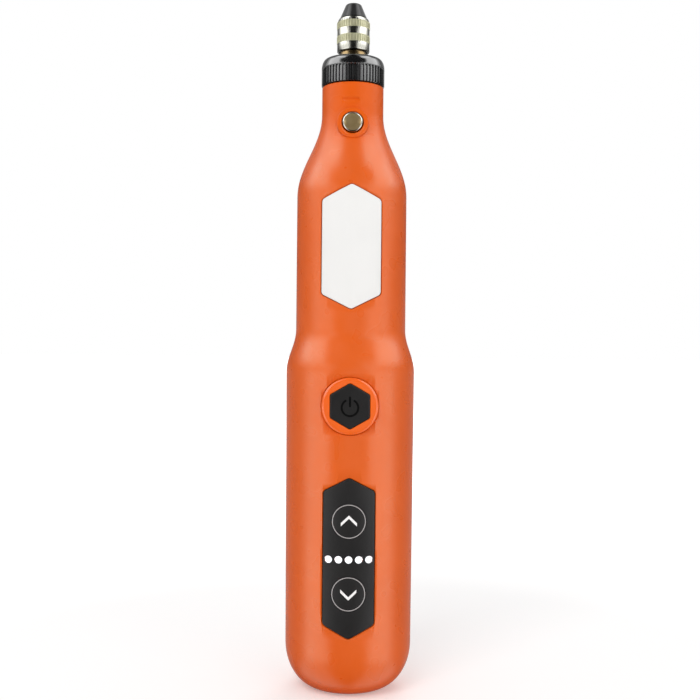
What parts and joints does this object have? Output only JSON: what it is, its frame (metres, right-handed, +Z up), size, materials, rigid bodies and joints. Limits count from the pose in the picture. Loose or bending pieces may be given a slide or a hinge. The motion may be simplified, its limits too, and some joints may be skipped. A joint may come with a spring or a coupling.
{
  "type": "cordless rotary tool",
  "caption": "Cordless mini rotary tool with orange casing, keyless chuck, ribbed nose cap, spindle lock, power button and speed panel, standing on its flat base.",
  "frame": {"origin": "middle of the flat base, on the tool's axis", "axes": "+Z up the tool's axis towards the chuck, -Y towards the side with the buttons"},
  "size_m": [0.0344, 0.0351, 0.1832],
  "materials": {
    "casing": "fine satin moulded plastic",
    "bright_casing": "smooth moulded plastic",
    "white_plastic": "smooth moulded plastic",
    "black_plastic": "satin moulded plastic",
    "gloss_black_plastic": "smooth moulded plastic",
    "clear_plastic": "frosted clear plastic",
    "nickel": "polished nickel plate",
    "dark_steel": "dark polished steel",
    "steel": "ground steel",
    "brass": "turned brass",
    "copper": "copper and laminated iron",
    "circuit_board": "glass-fibre board with green lacquer",
    "cell_wrap": "shrunk plastic wrap over a steel cell",
    "foam": "soft foam",
    "red_wire": "smooth insulation",
    "black_wire": "smooth insulation",
    "magnet": "sintered ferrite",
    "rubber": "matt rubber"
  },
  "bodies": {
    "housing": {"front_housing": "casing", "rear_housing": "casing", "housing_screw_1": "steel", "housing_screw_2": "steel", "housing_screw_3": "steel", "housing_screw_4": "steel", "front_badge": "white_plastic", "power_button_ring": "bright_casing", "nose_sleeve": "black_plastic", "control_panel": "gloss_black_plastic", "led_light_guide": "clear_plastic", "main_circuit_board": "circuit_board", "power_switch": "black_plastic", "speed_up_switch": "black_plastic", "speed_down_switch": "black_plastic", "speed_light_chip_1": "white_plastic", "speed_light_chip_2": "white_plastic", "speed_light_chip_3": "white_plastic", "speed_light_chip_4": "white_plastic", "speed_light_chip_5": "white_plastic", "charging_socket": "steel", "battery_cell": "cell_wrap", "battery_positive_tab": "nickel", "battery_negative_tab": "nickel", "battery_pad": "foam", "battery_positive_wire": "red_wire", "battery_negative_wire": "black_wire", "motor_positive_wire": "red_wire", "motor_negative_wire": "black_wire", "motor_can": "steel", "motor_end_cap": "black_plastic", "motor_magnet_1": "magnet", "motor_magnet_2": "magnet", "motor_brush_left": "copper", "motor_brush_right": "copper", "rear_bearing_outer_ring": "steel", "front_bearing_outer_ring": "steel", "lock_spring": "steel"},
    "spindle": {"motor_armature": "copper", "motor_commutator": "copper", "motor_shaft": "steel", "spindle": "steel", "rear_bearing_inner_ring": "steel", "front_bearing_inner_ring": "steel", "chuck_arbor": "brass", "chuck_body": "dark_steel"},
    "chuck_sleeve": {"chuck_sleeve": "nickel", "chuck_nut": "steel"},
    "chuck_jaw_1": {"chuck_jaw_1": "steel"},
    "chuck_jaw_2": {"chuck_jaw_2": "steel"},
    "chuck_jaw_3": {"chuck_jaw_3": "steel"},
    "nose_cap_washer": {"nose_cap_washer": "rubber"},
    "nose_cap": {"nose_cap": "black_plastic"},
    "power_button": {"power_button": "black_plastic", "power_switch_plunger": "white_plastic"},
    "speed_up_button": {"speed_up_button": "gloss_black_plastic", "speed_up_switch_plunger": "white_plastic"},
    "speed_down_button": {"speed_down_button": "gloss_black_plastic", "speed_down_switch_plunger": "white_plastic"},
    "lock_button": {"lock_button": "steel"}
  },
  "joints": [
    {"name": "spindle_spin", "type": "hinge", "parent": "housing", "child": "spindle", "pos_m": [0, 0, 0.1495], "axis": [0, 0, 1], "continuous": true},
    {"name": "chuck_sleeve_turn", "type": "hinge", "parent": "spindle", "child": "chuck_sleeve", "pos_m": [0, 0, 0.175], "axis": [0, 0, 1], "range_deg": [0, 1620]},
    {"name": "chuck_jaw_1_slide", "type": "slide", "parent": "spindle", "child": "chuck_jaw_1", "axis": [0.2588, 0, -0.9659], "range_m": [0, 0.0046]},
    {"name": "chuck_jaw_2_slide", "type": "slide", "parent": "spindle", "child": "chuck_jaw_2", "axis": [-0.1294, 0.2241, -0.9659], "range_m": [0, 0.0046]},
    {"name": "chuck_jaw_3_slide", "type": "slide", "parent": "spindle", "child": "chuck_jaw_3", "axis": [-0.1294, -0.2241, -0.9659], "range_m": [0, 0.0046]},
    {"name": "nose_cap_rise", "type": "slide", "parent": "housing", "child": "nose_cap_washer", "axis": [0, 0, 1], "range_m": [0, 0.0041]},
    {"name": "nose_cap_turn", "type": "hinge", "parent": "nose_cap_washer", "child": "nose_cap", "pos_m": [0, 0, 0.165], "axis": [0, 0, 1], "range_deg": [0, 1152]},
    {"name": "power_press", "type": "slide", "parent": "housing", "child": "power_button", "axis": [0, 1, 0], "range_m": [0, 0.0004], "stiffness_N_per_m": 1500, "springref_m": -0.0004},
    {"name": "speed_up_press", "type": "slide", "parent": "housing", "child": "speed_up_button", "axis": [0, 1, 0], "range_m": [0, 0.0004], "stiffness_N_per_m": 1500, "springref_m": -0.0004},
    {"name": "speed_down_press", "type": "slide", "parent": "housing", "child": "speed_down_button", "axis": [0, 1, 0], "range_m": [0, 0.0004], "stiffness_N_per_m": 1500, "springref_m": -0.0004},
    {"name": "lock_press", "type": "slide", "parent": "housing", "child": "lock_button", "axis": [0, 1, 0], "range_m": [0, 0.0011], "stiffness_N_per_m": 500, "springref_m": -0.0008, "deforming": ["lock_spring"]}
  ],
  "couplings": [
    {"joint": "chuck_jaw_1_slide", "follows": "chuck_sleeve_turn", "m_per_rad": 0.00015915},
    {"joint": "chuck_jaw_2_slide", "follows": "chuck_sleeve_turn", "m_per_rad": 0.00015915},
    {"joint": "chuck_jaw_3_slide", "follows": "chuck_sleeve_turn", "m_per_rad": 0.00015915},
    {"joint": "nose_cap_rise", "follows": "nose_cap_turn", "m_per_rad": 0.00019894}
  ]
}
